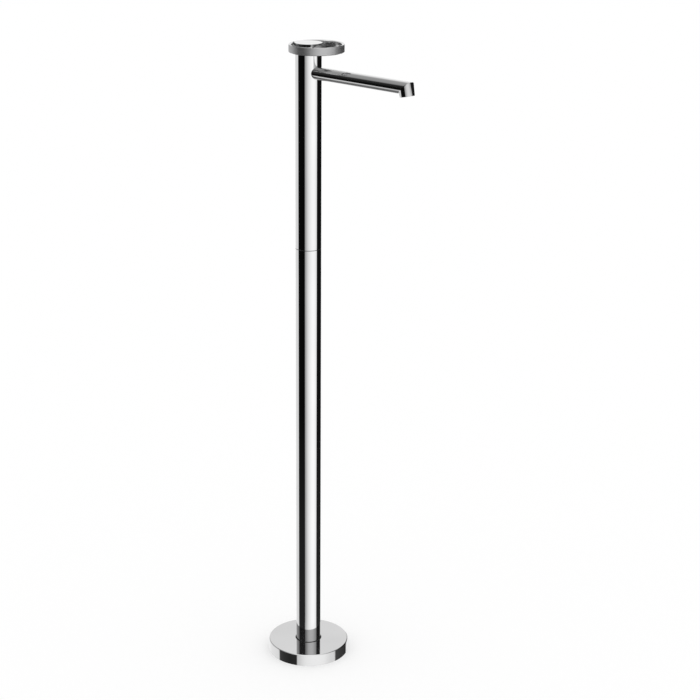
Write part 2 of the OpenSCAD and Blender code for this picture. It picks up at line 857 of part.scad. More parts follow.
// Hollow nipple that screws through the column into the body and carries the spout
module spout_nipple() {
    color("goldenrod") translate([0, 0, spout_z]) rotate([0, 90, 0]) difference() {
        translate([0, 0, nipple_in]) tube(nipple_r, nipple_bore_r, nipple_out - nipple_in);
        for (x = nipple_ring_xs)
            translate([0, 0, x])
                shaft_groove(nipple_r, nipple_groove_depth, nipple_groove_w);
        translate([0, 0, spout_grub_x])
            shaft_groove(nipple_r, grub_groove_depth, 2 * (spout_grub_r + seat_fit));
    }
}

// Two rubber rings on the nipple
module nipple_o_rings() {
    color("black") translate([0, 0, spout_z]) rotate([0, 90, 0])
        for (x = nipple_ring_xs)
            translate([0, 0, x]) o_ring(nipple_r - nipple_ring_r, nipple_ring_r);
}

// Section of the bar: two half circles with short flats between them, grown or shrunk by inset
module bar_section(inset) {
    for (side = [-1, 1]) translate([0, side * bar_offset]) circle(r = bar_r - inset);
    square([2 * (bar_r - inset), 2 * bar_offset], center = true);
}

// A bar of that section along +X from x0 to x1, on the spout's axis
module bar(x0, x1, inset) {
    translate([x0, 0, spout_z]) rotate([0, 90, 0]) linear_extrude(x1 - x0) bar_section(inset);
}

// Puts its children on the outlet's leaning axis, which runs down along -Z
module at_outlet() {
    translate([spout_reach, 0, spout_z]) rotate([0, -outlet_tilt, 0]) children();
}

// Half space on the outlet's side of the mitre between bar and outlet. The bar stands proud
// of the outlet there by mitre_step all round, so the two surfaces meet cleanly.
module beyond_mitre() {
    translate([spout_reach, 0, spout_z]) rotate([0, -mitre_angle, 0])
        translate([-cut_size / 2, -cut_size / 2, -cut_size]) cube(cut_size);
}

// Outer form of the spout, or its hollow when inset is the wall
module spout_form(inset) {
    difference() {
        bar(bar_start, spout_reach + outlet_d, inset);
        beyond_mitre();
    }
    intersection() {
        at_outlet() translate([0, 0, -outlet_l]) cylinder(r = outlet_r - inset, h = outlet_l + outlet_d);
        beyond_mitre();
    }
}

// Chromed spout: solid root with the nipple's bore, hollow bar and leaning outlet
module spout() {
    color("gainsboro") difference() {
        spout_form(0);
        cylinder(r = column_r + seat_fit, h = overall_h);
        translate([0, 0, spout_z]) rotate([0, 90, 0])
            cylinder(r = nipple_r + seat_fit, h = column_r + root_l + past);
        difference() {
            spout_form(spout_wall);
            translate([0, 0, spout_z - outlet_d])
                cube([2 * (column_r + root_l), cut_size, cut_size], center = true);
            at_outlet() translate([0, 0, -outlet_l - eps])
                tube(outlet_d, aerator_r - aerator_rim, aerator_recess + aerator_l + washer_t);
        }
        at_outlet() translate([0, 0, -outlet_l - eps])
            cylinder(r = aerator_r + seat_fit, h = aerator_recess + aerator_l + washer_t);
        translate([spout_grub_x, 0, spout_z - spout_h])
            cylinder(r = spout_grub_r + seat_fit, h = spout_h);
    }
}

// Grub screw under the spout's root
module spout_grub_screw() {
    grub_top = spout_z - nipple_r + grub_groove_depth - seat_fit;
    grub_foot = spout_z - bar_r + room;
    color("dimgray") translate([spout_grub_x, 0, grub_foot]) difference() {
        cylinder(r = spout_grub_r, h = grub_top - grub_foot);
        translate([0, 0, -eps]) cylinder(r = spout_grub_r / 2, h = spout_grub_socket, $fn = 6);
    }
}

// Threaded sleeve of the aerator
module aerator_housing() {
    color("silver") at_outlet() translate([0, 0, aerator_recess - outlet_l]) difference() {
        cylinder(r = aerator_r, h = aerator_l);
        translate([0, 0, aerator_floor]) cylinder(r = aerator_r - aerator_rim, h = aerator_l);
        translate([0, 0, -eps])
            cylinder(r = aerator_r - 2 * aerator_rim, h = aerator_floor + past);
        around(key_notch_count) translate([aerator_r - aerator_rim, 0, -eps])
            cylinder(r = key_notch_r, h = aerator_floor, $fn = 24);
    }
}

// Honeycomb insert that breaks up the stream
module aerator_insert() {
    insert_r = aerator_r - aerator_rim - seat_fit;
    insert_z = aerator_recess + aerator_floor - outlet_l;
    color("white") at_outlet() translate([0, 0, insert_z]) difference() {
        cylinder(r = insert_r, h = aerator_l - aerator_floor);
        for (ring = [1 : jet_rings]) around(6 * ring)
            translate([ring * insert_r / (jet_rings + 1), 0, -eps])
                cylinder(r = jet_r, h = aerator_l + past, $fn = 24);
        translate([0, 0, -eps]) cylinder(r = jet_r, h = aerator_l + past, $fn = 24);
    }
}

// Rubber washer above the aerator
module aerator_seal() {
    color("black") at_outlet()
        translate([0, 0, aerator_recess + aerator_l - outlet_l])
            tube(aerator_r - seat_fit, aerator_r - aerator_rim, washer_t - seat_fit);
}

floor_plate();
column_socket();
socket_screws();
column_grub_screws();
floor_cover();
cover_seal();
lower_column();
joint_sleeve();
joint_o_rings();
parting_gasket();
upper_column();
top_collar();
hot_inlet_tail();
cold_inlet_tail();
inlet_filters();
hot_tube();
cold_tube();
lower_tube_guide();
middle_tube_guide();
tube_o_rings();
tube_retainer();
retainer_screws();
valve_body();
body_o_rings();
cartridge_housing();
housing_o_ring();
cartridge_base();
cartridge_seals();
fixed_ceramic_disc();
cartridge_nut();
lever_carrier();
lever_pin();
disc_slider();
moving_ceramic_disc();
lever_stem();
handle_disc();
handle_ring();
handle_screw();
screw_plug();
spout_nipple();
nipple_o_rings();
spout();
spout_grub_screw();
aerator_housing();
aerator_insert();
aerator_seal();
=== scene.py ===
# %% [markdown]
# # A floor-standing basin mixer in polished chrome
# The object is a slim round column on a flat round cover. Near its top a flattened bar
# runs out to a short leaning outlet, and an open ring sits off-centre on the very top
# as the handle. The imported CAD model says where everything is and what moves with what.
# This script loads it as a fixed frame and dresses it: the ten pieces that make up the
# outside are modelled again with fine, clean facets, because polished chrome shows every
# flat spot. All other parts keep their CAD shape and get the look of their material.

import json
import math

import bpy
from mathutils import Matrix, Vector


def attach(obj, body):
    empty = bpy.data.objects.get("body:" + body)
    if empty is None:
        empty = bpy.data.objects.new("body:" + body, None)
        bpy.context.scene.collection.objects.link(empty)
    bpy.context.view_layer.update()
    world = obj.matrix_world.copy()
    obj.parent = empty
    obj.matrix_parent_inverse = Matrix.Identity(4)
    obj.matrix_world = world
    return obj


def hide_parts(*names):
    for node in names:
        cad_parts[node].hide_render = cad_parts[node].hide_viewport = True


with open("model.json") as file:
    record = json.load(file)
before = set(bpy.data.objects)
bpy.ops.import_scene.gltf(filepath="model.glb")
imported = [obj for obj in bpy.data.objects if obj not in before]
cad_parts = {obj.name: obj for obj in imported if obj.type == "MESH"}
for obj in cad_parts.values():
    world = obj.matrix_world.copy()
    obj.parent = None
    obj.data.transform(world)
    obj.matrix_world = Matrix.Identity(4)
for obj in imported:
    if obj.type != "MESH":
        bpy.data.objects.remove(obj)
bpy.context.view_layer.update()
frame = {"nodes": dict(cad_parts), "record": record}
print("CAD nodes:", len(frame["nodes"]))

# %% [markdown]
# ## Sizes
# The drawing sizes are in millimetres and Blender works in metres, so lengths are written
# in millimetres and turned into metres once, by the helper mm. The values are those of the
# real object: a 140 mm cover, a 43 mm column, a spout whose axis is 1038 mm above the
# floor and a handle that ends at 1085 mm.

# %% Sizes in millimetres
COVER_R, COVER_H, COVER_EDGE, COVER_WALL, COVER_LIP = 70.0, 21.0, 1.0, 2.0, 5.4
COLUMN_R, BORE_R = 21.5, 20.0
SEAL_OUT_R, SEAL_LOW, SEAL_HIGH, SEAL_ROOM = 23.2, 16.6, 20.6, 0.05
FLANGE_TOP, PARTING_Z, TUBE_TOP, COLUMN_TOP = 11.0, 744.0, 1069.0, 1070.5
PIVOT_Z, BALL_R, BALL_WALL, BALL_GAP = 1060.5, 18.0, 2.0, 0.4
TOP_Z, DISC_Z, DISC_R = 1085.0, 1080.0, 22.4
RING_X, RING_R, RING_WALL, RING_H, RING_EDGE = 18.35, 45.0, 4.2, 13.0, 0.8
SPOUT_Z, SPOUT_REACH, BAR_R, BAR_HALF = 1038.0, 212.0, 10.0, 11.9
OUTLET_R, OUTLET_LENGTH, OUTLET_LEAN = 11.75, 13.0, math.radians(11)
AERATOR_R, AERATOR_DEPTH = 9.3, 9.6
FINE = 256
SPOUT_FACETS = 128


def mm(*values):
    """Millimetres to metres: one number, or a point."""
    scaled = [v * 0.001 for v in values]
    return scaled[0] if len(scaled) == 1 else Vector(scaled)


print("facets round a full turn:", FINE)

# %% [markdown]
# ## Small tools of the trade
# Blender's operators act on whatever is selected, so each step begins by putting
# everything down and taking up one object. In edit mode, vertices, edges and faces are
# picked by where they lie.

# %% Helpers for selecting and cleaning
def put_everything_down():
    if bpy.context.object and bpy.context.object.mode != "OBJECT":
        bpy.ops.object.mode_set(mode="OBJECT")
    bpy.ops.object.select_all(action="DESELECT")


def take(obj):
    put_everything_down()
    obj.select_set(True)
    bpy.context.view_layer.objects.active = obj


def named(name):
    """Gives the object that was just added its name, and puts its place into its mesh."""
    obj = bpy.context.object
    obj.name = name
    obj.data.name = name
    bpy.ops.object.transform_apply(location=True, rotation=True, scale=True)
    return obj


def pick(obj, test, kind="VERT"):
    """In edit mode, selects the vertices, edges or faces whose place passes the test."""
    bpy.ops.mesh.select_all(action="DESELECT")
    bpy.ops.mesh.select_mode(type=kind)
    bpy.ops.object.mode_set(mode="OBJECT")
    mesh = obj.data
    if kind == "VERT":
        for v in mesh.vertices:
            v.select = test(v.co)
    if kind == "EDGE":
        for e in mesh.edges:
            e.select = all(test(mesh.vertices[i].co) for i in e.vertices)
    if kind == "FACE":
        for f in mesh.polygons:
            f.select = test(f)
    bpy.ops.object.mode_set(mode="EDIT")


def clean(obj):
    """Merges doubles and turns all faces outwards."""
    take(obj)
    bpy.ops.object.mode_set(mode="EDIT")
    bpy.ops.mesh.select_all(action="SELECT")
    bpy.ops.mesh.remove_doubles(threshold=1e-6)
    bpy.ops.mesh.normals_make_consistent(inside=False)
    bpy.ops.object.mode_set(mode="OBJECT")


# %% [markdown]
# ## Turned parts, rods and cuts
# A turned part, such as a tube or a ring, is drawn as half of its section: one point is
# extruded along the outline, and the outline is then spun round the axis, as on a lathe.
# After a spin the first and last copy lie on each other, so doubles are merged, and only
# then are the normals turned outwards. A cut leaves doubles too, and is cleaned as well.

# %% Helpers for modelling
def turned(name, outline, centre_x=0.0):
    """A closed outline of (radius, height) points in mm, spun round a vertical axis."""
    put_everything_down()
    start = mm(centre_x + outline[0][0], 0, outline[0][1])
    bpy.ops.mesh.primitive_plane_add(size=mm(1), location=start)
    obj = named(name)
    bpy.ops.object.mode_set(mode="EDIT")
    bpy.ops.mesh.select_all(action="SELECT")
    bpy.ops.mesh.merge(type="CENTER")
    for here, there in zip(outline, outline[1:] + outline[:1]):
        step = mm(there[0] - here[0], 0, there[1] - here[1])
        bpy.ops.mesh.extrude_vertices_move(TRANSFORM_OT_translate={"value": step})
    bpy.ops.mesh.select_all(action="SELECT")
    bpy.ops.mesh.spin(
        steps=FINE, angle=2 * math.pi, center=mm(centre_x, 0, 0), axis=(0, 0, 1)
    )
    clean(obj)
    return obj


def rod(name, radius, start, end, facets):
    """A cylinder in mm between two points, used as a part's start or as a cutter."""
    put_everything_down()
    a, b = mm(*start), mm(*end)
    turn = (b - a).to_track_quat("Z", "Y").to_euler()
    bpy.ops.mesh.primitive_cylinder_add(
        vertices=facets, radius=mm(radius), depth=(b - a).length,
        location=(a + b) / 2, rotation=turn,
    )
    return named(name)


def apply_modifier(obj, kind, **settings):
    take(obj)
    bpy.ops.object.modifier_add(type=kind)
    modifier = obj.modifiers[-1]
    for key, value in settings.items():
        setattr(modifier, key, value)
    bpy.ops.object.modifier_apply(modifier=modifier.name)


def combine(obj, other, operation):
    """Cuts other out of obj, or joins it on, removes other and merges what now lies double."""
    apply_modifier(obj, "BOOLEAN", object=other, operation=operation, solver="EXACT")
    bpy.data.objects.remove(other)
    clean(obj)


def arc(radius, start_deg, end_deg, steps, centre_z):
    """Points of an arc, as (radius, height), with the angle counted up from level."""
    angles = [
        math.radians(start_deg + (end_deg - start_deg) * i / steps)
        for i in range(steps + 1)
    ]
    return [(radius * math.cos(a), centre_z + radius * math.sin(a)) for a in angles]


# %% [markdown]
# ## Finishing a piece
# Chrome is unforgiving: a sharp edge without a tiny round looks like a drawing, and a
# shading normal that bends across a flat face shows as a dent. So each piece gets a very
# small bevel on its sharp edges, smooth shading that stops at real corners, and weighted
# normals, which keep the broad faces truly flat. Cuts leave hair-fine edges that would
# hold such a bevel back, so a piece that gets cut is rounded before its cuts. Then it is
# told which body it moves with, which CAD node it stands for and which finish it has.

# %% Helper that finishes a piece
made_pieces = []
BEVEL_ANGLE, SMOOTH_ANGLE = math.radians(32), math.radians(40)


def round_edges(obj, round_mm):
    apply_modifier(
        obj, "BEVEL", width=mm(round_mm), segments=2, limit_method="ANGLE",
        angle_limit=BEVEL_ANGLE, use_clamp_overlap=True,
    )


def finish_piece(obj, body, material, stands_for, round_mm):
    if round_mm:
        round_edges(obj, round_mm)
    take(obj)
    bpy.ops.object.shade_smooth_by_angle(angle=SMOOTH_ANGLE)
    apply_modifier(obj, "WEIGHTED_NORMAL", keep_sharp=True, weight=90)
    obj.data.materials.clear()
    obj.data.materials.append(material)
    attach(obj, body)
    for node in stands_for:
        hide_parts(node)
    made_pieces.append(obj)
    print(f"{obj.name}: {len(obj.data.polygons)} faces, rides on {body}")


# %% [markdown]
# ## Materials: the shared nodes
# Every finish is a Principled shader with a little procedural life in it: noise in the
# piece's own space drives the roughness and the colour and, where a surface isn't
# polished, a fine relief. Values that are the same all over are written straight into
# the shader's sockets, so that they survive an export.

# %% Helpers for materials
def finish(name, colour, metallic, roughness):
    """A new material with its even values set. Returns it with its shader."""
    material = bpy.data.materials.new(name)
    material.use_nodes = True
    shader = material.node_tree.nodes["Principled BSDF"]
    shader.inputs["Base Color"].default_value = (*colour, 1)
    shader.inputs["Metallic"].default_value = metallic
    shader.inputs["Roughness"].default_value = roughness
    return material, shader


def add_node(owner, kind, **settings):
    """Adds a node to the tree of a material or of the world."""
    node = owner.node_tree.nodes.new(kind)
    for key, value in settings.items():
        setattr(node, key, value)
    return node


def grain(material, stretch, scale, detail=3.0, centre=(0, 0, 0)):
    """Noise in the piece's own space, stretched along its axes."""
    links = material.node_tree.links
    place = add_node(material, "ShaderNodeTexCoord")
    mapping = add_node(material, "ShaderNodeMapping")
    mapping.inputs["Location"].default_value = [-c * s for c, s in zip(centre, stretch)]
    mapping.inputs["Scale"].default_value = stretch
    noise = add_node(material, "ShaderNodeTexNoise")
    noise.inputs["Scale"].default_value = scale
    noise.inputs["Detail"].default_value = detail
    links.new(place.outputs["Object"], mapping.inputs["Vector"])
    links.new(mapping.outputs["Vector"], noise.inputs["Vector"])
    return noise.outputs["Fac"]


def drive(material, fac, socket, low, high):
    """Maps noise to the range low to high, and plugs it into a socket."""
    links = material.node_tree.links
    span = add_node(material, "ShaderNodeMapRange")
    span.inputs["From Min"].default_value = 0.3
    span.inputs["From Max"].default_value = 0.7
    span.inputs["To Min"].default_value = low
    span.inputs["To Max"].default_value = high
    links.new(fac, span.inputs["Value"])
    links.new(span.outputs["Result"], socket)


def tint(material, shader, fac, dark, light):
    """Lets the colour wander between two shades."""
    links = material.node_tree.links
    ramp = add_node(material, "ShaderNodeValToRGB")
    ramp.color_ramp.elements[0].position = 0.3
    ramp.color_ramp.elements[0].color = (*dark, 1)
    ramp.color_ramp.elements[1].position = 0.7
    ramp.color_ramp.elements[1].color = (*light, 1)
    links.new(fac, ramp.inputs["Fac"])
    links.new(ramp.outputs["Color"], shader.inputs["Base Color"])


def relief(material, shader, fac, depth_mm, strength):
    """A fine bump of the given depth."""
    links = material.node_tree.links
    bump = add_node(material, "ShaderNodeBump")
    bump.inputs["Distance"].default_value = mm(depth_mm)
    bump.inputs["Strength"].default_value = strength
    links.new(fac, bump.inputs["Height"])
    links.new(bump.outputs["Normal"], shader.inputs["Normal"])


# %% [markdown]
# ## Polished chrome
# Chrome plate reflects a little over half of the light, evenly over all colours, and the
# rest of its look is what stands around it. The plate is very smooth, but never perfect:
# wiping leaves faint smears that are slightly duller, and under them the polish has a
# barely visible cloudiness. Both are noise, and the cloudiness is the broader of the two.

# %% Polished chrome
CHROME = (0.643, 0.643, 0.645)


def polished_chrome(name):
    material, shader = finish(name, CHROME, 1.0, 0.04)
    smears = grain(material, (1, 1, 0.35), 26, 4)
    drive(material, smears, shader.inputs["Roughness"], 0.022, 0.07)
    cloud = grain(material, (1, 1, 1), 9, 2)
    tint(material, shader, cloud, (0.62, 0.62, 0.622), (0.665, 0.665, 0.667))
    return material


chrome = polished_chrome("polished_chrome")
print("made", chrome.name)

# %% [markdown]
# ## Satin chrome on the handle's band
# The outer band of the ring is brushed round and round before it is plated, so a finger
# finds grip on it. The brush leaves hair lines that run along the band. They are noise
# that is drawn out round the ring and very fine along its height, read as relief, as
# roughness and as colour.

# %% Satin chrome
satin, satin_shader = finish("satin_chrome", (0.50, 0.50, 0.505), 1.0, 0.5)
hair_lines = grain(satin, (0.02, 0.02, 6.0), 900, 2, (mm(RING_X), 0, 0))
drive(satin, hair_lines, satin_shader.inputs["Roughness"], 0.44, 0.58)
tint(satin, satin_shader, hair_lines, (0.46, 0.46, 0.465), (0.58, 0.58, 0.585))
relief(satin, satin_shader, hair_lines, 0.02, 0.35)
print("made", satin.name)

# %% [markdown]
# ## Lapped chrome on the inside of the ring
# The inside of the ring is hard to reach with a polishing wheel, so it is only lapped
# before it is plated. It still mirrors the room, but softly, and the fine lap marks run
# round it like the hair lines of the band.

# %% Lapped chrome
lapped, lapped_shader = finish("lapped_chrome", CHROME, 1.0, 0.18)
lap_marks = grain(lapped, (0.05, 0.05, 4.0), 700, 2, (mm(RING_X), 0, 0))
drive(lapped, lap_marks, lapped_shader.inputs["Roughness"], 0.15, 0.21)
tint(lapped, lapped_shader, lap_marks, (0.60, 0.60, 0.602), (0.66, 0.66, 0.662))
print("made", lapped.name)

# %% [markdown]
# ## The plain materials
# The other finishes are quieter: black rubber with a fine matt grain, machined brass with
# turning marks, drawn copper with marks along the tube, galvanised plate with its soft
# crystal clouds, stainless steel, moulded plastics with a slight orange-peel surface, and
# lapped ceramic with fine specks. They are kept in one table, one row to a finish.

# %% Plain materials
PLAIN = {
    # slot: colour dark, colour light, metallic, roughness from and to, stretch, scale, depth mm
    "rubber": ((0.008, 0.008, 0.008), (0.02, 0.02, 0.02), 0, 0.5, 0.68, (1, 1, 1), 900, 0.02),
    "brass": ((0.58, 0.42, 0.19), (0.70, 0.53, 0.27), 1, 0.2, 0.36, (0.05, 0.05, 3), 700, 0.01),
    "copper": ((0.62, 0.29, 0.17), (0.76, 0.42, 0.28), 1, 0.22, 0.4, (3, 3, 0.04), 500, 0.01),
    "galvanised": ((0.42, 0.43, 0.44), (0.62, 0.63, 0.65), 1, 0.34, 0.55, (1, 1, 1), 120, 0.015),
    "steel": ((0.50, 0.50, 0.49), (0.62, 0.62, 0.61), 1, 0.2, 0.34, (1, 1, 1), 600, 0.01),
    "white_plastic": ((0.74, 0.74, 0.71), (0.82, 0.82, 0.79), 0, 0.38, 0.5, (1, 1, 1), 350, 0.02),
    "grey_plastic": ((0.13, 0.135, 0.14), (0.18, 0.185, 0.19), 0, 0.38, 0.5, (1, 1, 1), 350, 0.02),
    "ceramic": ((0.80, 0.79, 0.75), (0.87, 0.86, 0.83), 0, 0.1, 0.2, (1, 1, 1), 1200, 0.004),
}
materials = {"chrome": chrome, "satin_chrome": satin}
for slot_name, (dark, light, metallic, low, high, stretch, scale, depth) in PLAIN.items():
    material, shader = finish(slot_name, light, metallic, (low + high) / 2)
    texture = grain(material, stretch, scale)
    drive(material, texture, shader.inputs["Roughness"], low, high)
    tint(material, shader, texture, dark, light)
    relief(material, shader, texture, depth, 0.6)
    materials[slot_name] = material
print("materials:", ", ".join(sorted(materials)))

# %% [markdown]
# ## The other parts keep their CAD shape
# The valve, the tubes, the screws, the plates and the aerator are right as they were
# drawn, and only need the look of their material. The record says which slot each node
# belongs to.

# %% Materials for the CAD nodes
slot_of = {s["node"]: s["material_slot"] for s in frame["record"]["subparts"]}
for node_name, node in frame["nodes"].items():
    for holder in node.material_slots:
        holder.material = materials[slot_of[node_name]]
print("dressed", len(slot_of), "CAD nodes")

# %% [markdown]
# ## The floor cover
# A round cap of drawn brass, open below, hides the plate that is screwed to the floor.
# Its top is dead flat and mirrors the column, and a 1 mm chamfer catches the light along
# its edge. It could be a cylinder with its inside cut away, but a spun outline gives the
# top, the chamfer, the wall and the inner collar in one go.

# %% Floor cover
lip_low, under_top = COVER_H - COVER_LIP, COVER_H - COVER_WALL
cover_outline = [
    (SEAL_OUT_R, lip_low), (SEAL_OUT_R, COVER_H), (COVER_R - COVER_EDGE, COVER_H),
    (COVER_R, COVER_H - COVER_EDGE), (COVER_R, 0), (COVER_R - COVER_WALL, 0),
    (COVER_R - COVER_WALL, under_top), (SEAL_OUT_R + COVER_WALL, under_top),
    (SEAL_OUT_R + COVER_WALL, lip_low),
]
floor_cover = turned("floor_cover_chrome", cover_outline)
finish_piece(floor_cover, "stand", chrome, ["floor_cover"], 0.12)

# %% [markdown]
# ## The seal round the column's foot
# A thin black rubber ring closes the gap between the cover and the column. It lies a
# little lower than the cover's top, so it reads as a fine dark line.

# %% Seal
seal_in, seal_out = COLUMN_R + SEAL_ROOM, SEAL_OUT_R - SEAL_ROOM
seal_outline = [
    (seal_in, SEAL_LOW), (seal_in, SEAL_HIGH), (seal_out, SEAL_HIGH), (seal_out, SEAL_LOW),
]
cover_seal = turned("foot_seal_rubber", seal_outline)
finish_piece(cover_seal, "stand", materials["rubber"], ["cover_seal"], 0.3)

# %% [markdown]
# ## The column
# Two tubes stand on one another, joined inside by a sleeve. Where they meet, a thin dark
# gasket shows as a hairline. Each tube is an outline of four corners, spun: there is no
# need for rings along the height, because the sides are straight.

# %% Column tubes and gasket
GASKET_HALF, GASKET_SUNK, BORE_PLAY = 0.42, 0.3, 0.05
GASKET_LOW, GASKET_HIGH = PARTING_Z - GASKET_HALF, PARTING_Z + GASKET_HALF


def tube(name, r_in, r_out, low, high):
    return turned(name, [(r_in, low), (r_in, high), (r_out, high), (r_out, low)])


lower_tube = tube("lower_column_chrome", BORE_R, COLUMN_R, FLANGE_TOP, GASKET_LOW)
finish_piece(lower_tube, "stand", chrome, ["lower_column"], 0.15)
gasket = tube(
    "parting_gasket_rubber", BORE_R + BORE_PLAY, COLUMN_R - GASKET_SUNK, GASKET_LOW, GASKET_HIGH
)
finish_piece(gasket, "stand", materials["rubber"], ["parting_gasket"], 0)
upper_tube = tube("upper_column_chrome", BORE_R, COLUMN_R, GASKET_HIGH, TUBE_TOP)
finish_piece(upper_tube, "stand", chrome, ["upper_column"], 0.15)

# %% [markdown]
# ## The collar in the column's mouth
# A ring closes the top of the column. Its bore is part of a ball, a little larger than
# the ball skirt of the handle, so the two never touch while the handle tilts, and the
# gap between them stays the same all the way.

# %% Top collar
lip_r = BALL_R + BALL_GAP
collar_foot = TUBE_TOP - 6
foot_angle = math.degrees(math.asin((collar_foot - PIVOT_Z) / lip_r))
lip_angle = math.degrees(math.asin((COLUMN_TOP - PIVOT_Z) / lip_r))
collar_outline = [
    (BORE_R - BORE_PLAY, collar_foot), (BORE_R - BORE_PLAY, TUBE_TOP), (COLUMN_R, TUBE_TOP),
    (COLUMN_R, COLUMN_TOP),
] + arc(lip_r, lip_angle, foot_angle, 12, PIVOT_Z)
top_collar = turned("top_collar_chrome", collar_outline)
finish_piece(top_collar, "stand", chrome, ["top_collar"], 0.12)

# %% [markdown]
# ## The disc of the handle
# A mirror disc sits flush inside the ring, right over the column. Below it hangs a ball
# skirt that fills the column's mouth, so no gap opens when the handle is lifted. Disc,
# neck and skirt are one turned part, so one outline makes them all: out along the top,
# down the edge, in to the neck, down the ball and back up its inside.

# %% Handle disc with its ball skirt
NECK_R, SKIRT_FOOT = 9.0, 1.9
BOSS_R, BOSS_FOOT, STEM_HOLE_R, DISC_CROWN = 7.0, 8.0, 4.7, 1.6
neck_angle = math.degrees(math.acos(NECK_R / BALL_R))
out_angle = math.degrees(math.asin(SKIRT_FOOT / BALL_R))
in_angle = math.degrees(math.asin(SKIRT_FOOT / (BALL_R - BALL_WALL)))
boss_angle = math.degrees(math.acos(BOSS_R / (BALL_R - BALL_WALL)))
disc_outline = [(0, TOP_Z), (DISC_R, TOP_Z), (DISC_R, DISC_Z), (NECK_R, DISC_Z)]
disc_outline += arc(BALL_R, neck_angle, out_angle, 24, PIVOT_Z)
disc_outline += arc(BALL_R - BALL_WALL, in_angle, boss_angle, 20, PIVOT_Z)
disc_outline += [
    (BOSS_R, PIVOT_Z + BOSS_FOOT), (STEM_HOLE_R, PIVOT_Z + BOSS_FOOT),
    (STEM_HOLE_R, TOP_Z - DISC_CROWN), (0, TOP_Z - DISC_CROWN),
]
handle_disc = turned("handle_disc_chrome", disc_outline)
finish_piece(handle_disc, "handle", chrome, ["handle_disc"], 0.15)

# %% [markdown]
# ## The ring of the handle
# The ring is a short band of brass, 90 mm across, turned with a small polished bevel
# along its edges. It hangs on the disc by a web at the back, where ring and disc nearly
# touch. The band is spun, the web starts as a disc that is cut down to a small segment,
# and the two are joined. Last, a blind seat for the screw's plug is drilled from behind.

# %% Handle ring
inner, outer, low = RING_R - RING_WALL, RING_R, TOP_Z - RING_H
TOP_SLOPE, RING_ROUND = 0.6, 0.15
ring_outline = [
    (inner, low + RING_EDGE), (inner + RING_EDGE, low), (outer - RING_EDGE, low),
    (outer, low + RING_EDGE), (outer, TOP_Z - RING_EDGE / 2), (outer - RING_EDGE / 2, TOP_Z),
    (inner + RING_EDGE, TOP_Z - TOP_SLOPE), (inner, TOP_Z - TOP_SLOPE - RING_EDGE),
]
handle_ring = turned("handle_ring_satin", ring_outline, RING_X)
round_edges(handle_ring, RING_ROUND)

WEB_HALF, WEB_FRONT, SCREW_Z, DISC_SEAT = 12.0, -10.0, 1081.0, 0.05
PLUG_HOLE_R, PLUG_HOLE_END, WEB_INSET, WEB_SUNK = 2.65, -23.2, 0.3, 0.02
web_r, web_top = outer - RING_EDGE - WEB_INSET, TOP_Z - WEB_SUNK
web = rod("web", web_r, (RING_X, 0, DISC_Z), (RING_X, 0, web_top), FINE)
bpy.ops.object.mode_set(mode="EDIT")
for place, normal in (
    (mm(0, WEB_HALF, 0), (0, 1, 0)), (mm(0, -WEB_HALF, 0), (0, -1, 0)),
    (mm(WEB_FRONT, 0, 0), (1, 0, 0)),
):
    bpy.ops.mesh.select_all(action="SELECT")
    bpy.ops.mesh.bisect(plane_co=place, plane_no=normal, use_fill=True, clear_outer=True)
bpy.ops.object.mode_set(mode="OBJECT")
disc_room = rod("disc_room", DISC_R + DISC_SEAT, (0, 0, DISC_Z - 1), (0, 0, TOP_Z + 1), FINE)
combine(web, disc_room, "DIFFERENCE")
combine(handle_ring, web, "UNION")
plug_hole = rod("plug_hole", PLUG_HOLE_R, (-30, 0, SCREW_Z), (PLUG_HOLE_END, 0, SCREW_Z), 48)
combine(handle_ring, plug_hole, "DIFFERENCE")
finish_piece(handle_ring, "handle", chrome, ["handle_ring"], 0)

# %% [markdown]
# Only the band's outside is satin, and its inside is lapped. The bevels and both edges
# are polished, so the upright faces get their finish one by one, by where they lie.

# %% Satin band and lapped inside
for other_finish in (satin, lapped):
    handle_ring.data.materials.append(other_finish)
for face in handle_ring.data.polygons:
    from_axis = (face.center - mm(RING_X, 0, face.center.z * 1000)).length
    if abs(face.normal.z) < 0.2 and from_axis > mm(RING_R - 0.1):
        face.material_index = 1
    elif abs(face.normal.z) < 0.2 and from_axis < mm(RING_R - RING_WALL + 0.1):
        face.material_index = 2
upright = [face.material_index for face in handle_ring.data.polygons]
print("satin faces:", upright.count(1), "lapped faces:", upright.count(2))

# %% [markdown]
# ## The plug at the back of the ring
# A small plug hides the screw that clamps ring, disc and stem together. It is a short
# rod with a slightly sunken face, like the plugs that are pushed in by thumb.

# %% Screw plug
PLUG_R, PLUG_BACK, PLUG_FACE, PLUG_RIM, PLUG_DISH = 2.6, -25.6, -26.6, 0.5, 0.15
plug = rod("screw_plug_satin", PLUG_R, (PLUG_BACK, 0, SCREW_Z), (PLUG_FACE, 0, SCREW_Z), 64)
bpy.ops.object.mode_set(mode="EDIT")
pick(plug, lambda f: f.center.x < mm(PLUG_FACE + 0.1), "FACE")
bpy.ops.mesh.inset(thickness=mm(PLUG_RIM), depth=-mm(PLUG_DISH))
bpy.ops.object.mode_set(mode="OBJECT")
finish_piece(plug, "handle", satin, ["screw_plug"], 0.15)

# %% [markdown]
# ## The spout
# The spout is a bar with a rounded section, wider than it is high, cut off at a slant
# where the short round outlet leans out and down. A cylinder is laid along the spout and
# its two halves are drawn apart, which gives the section. A bisect along the mitre cuts
# it, and a circle at the outlet's mouth is bridged to the cut edge. The bridge turns the
# bar's section into the outlet's round, and leaves the crisp edge that the real one has.

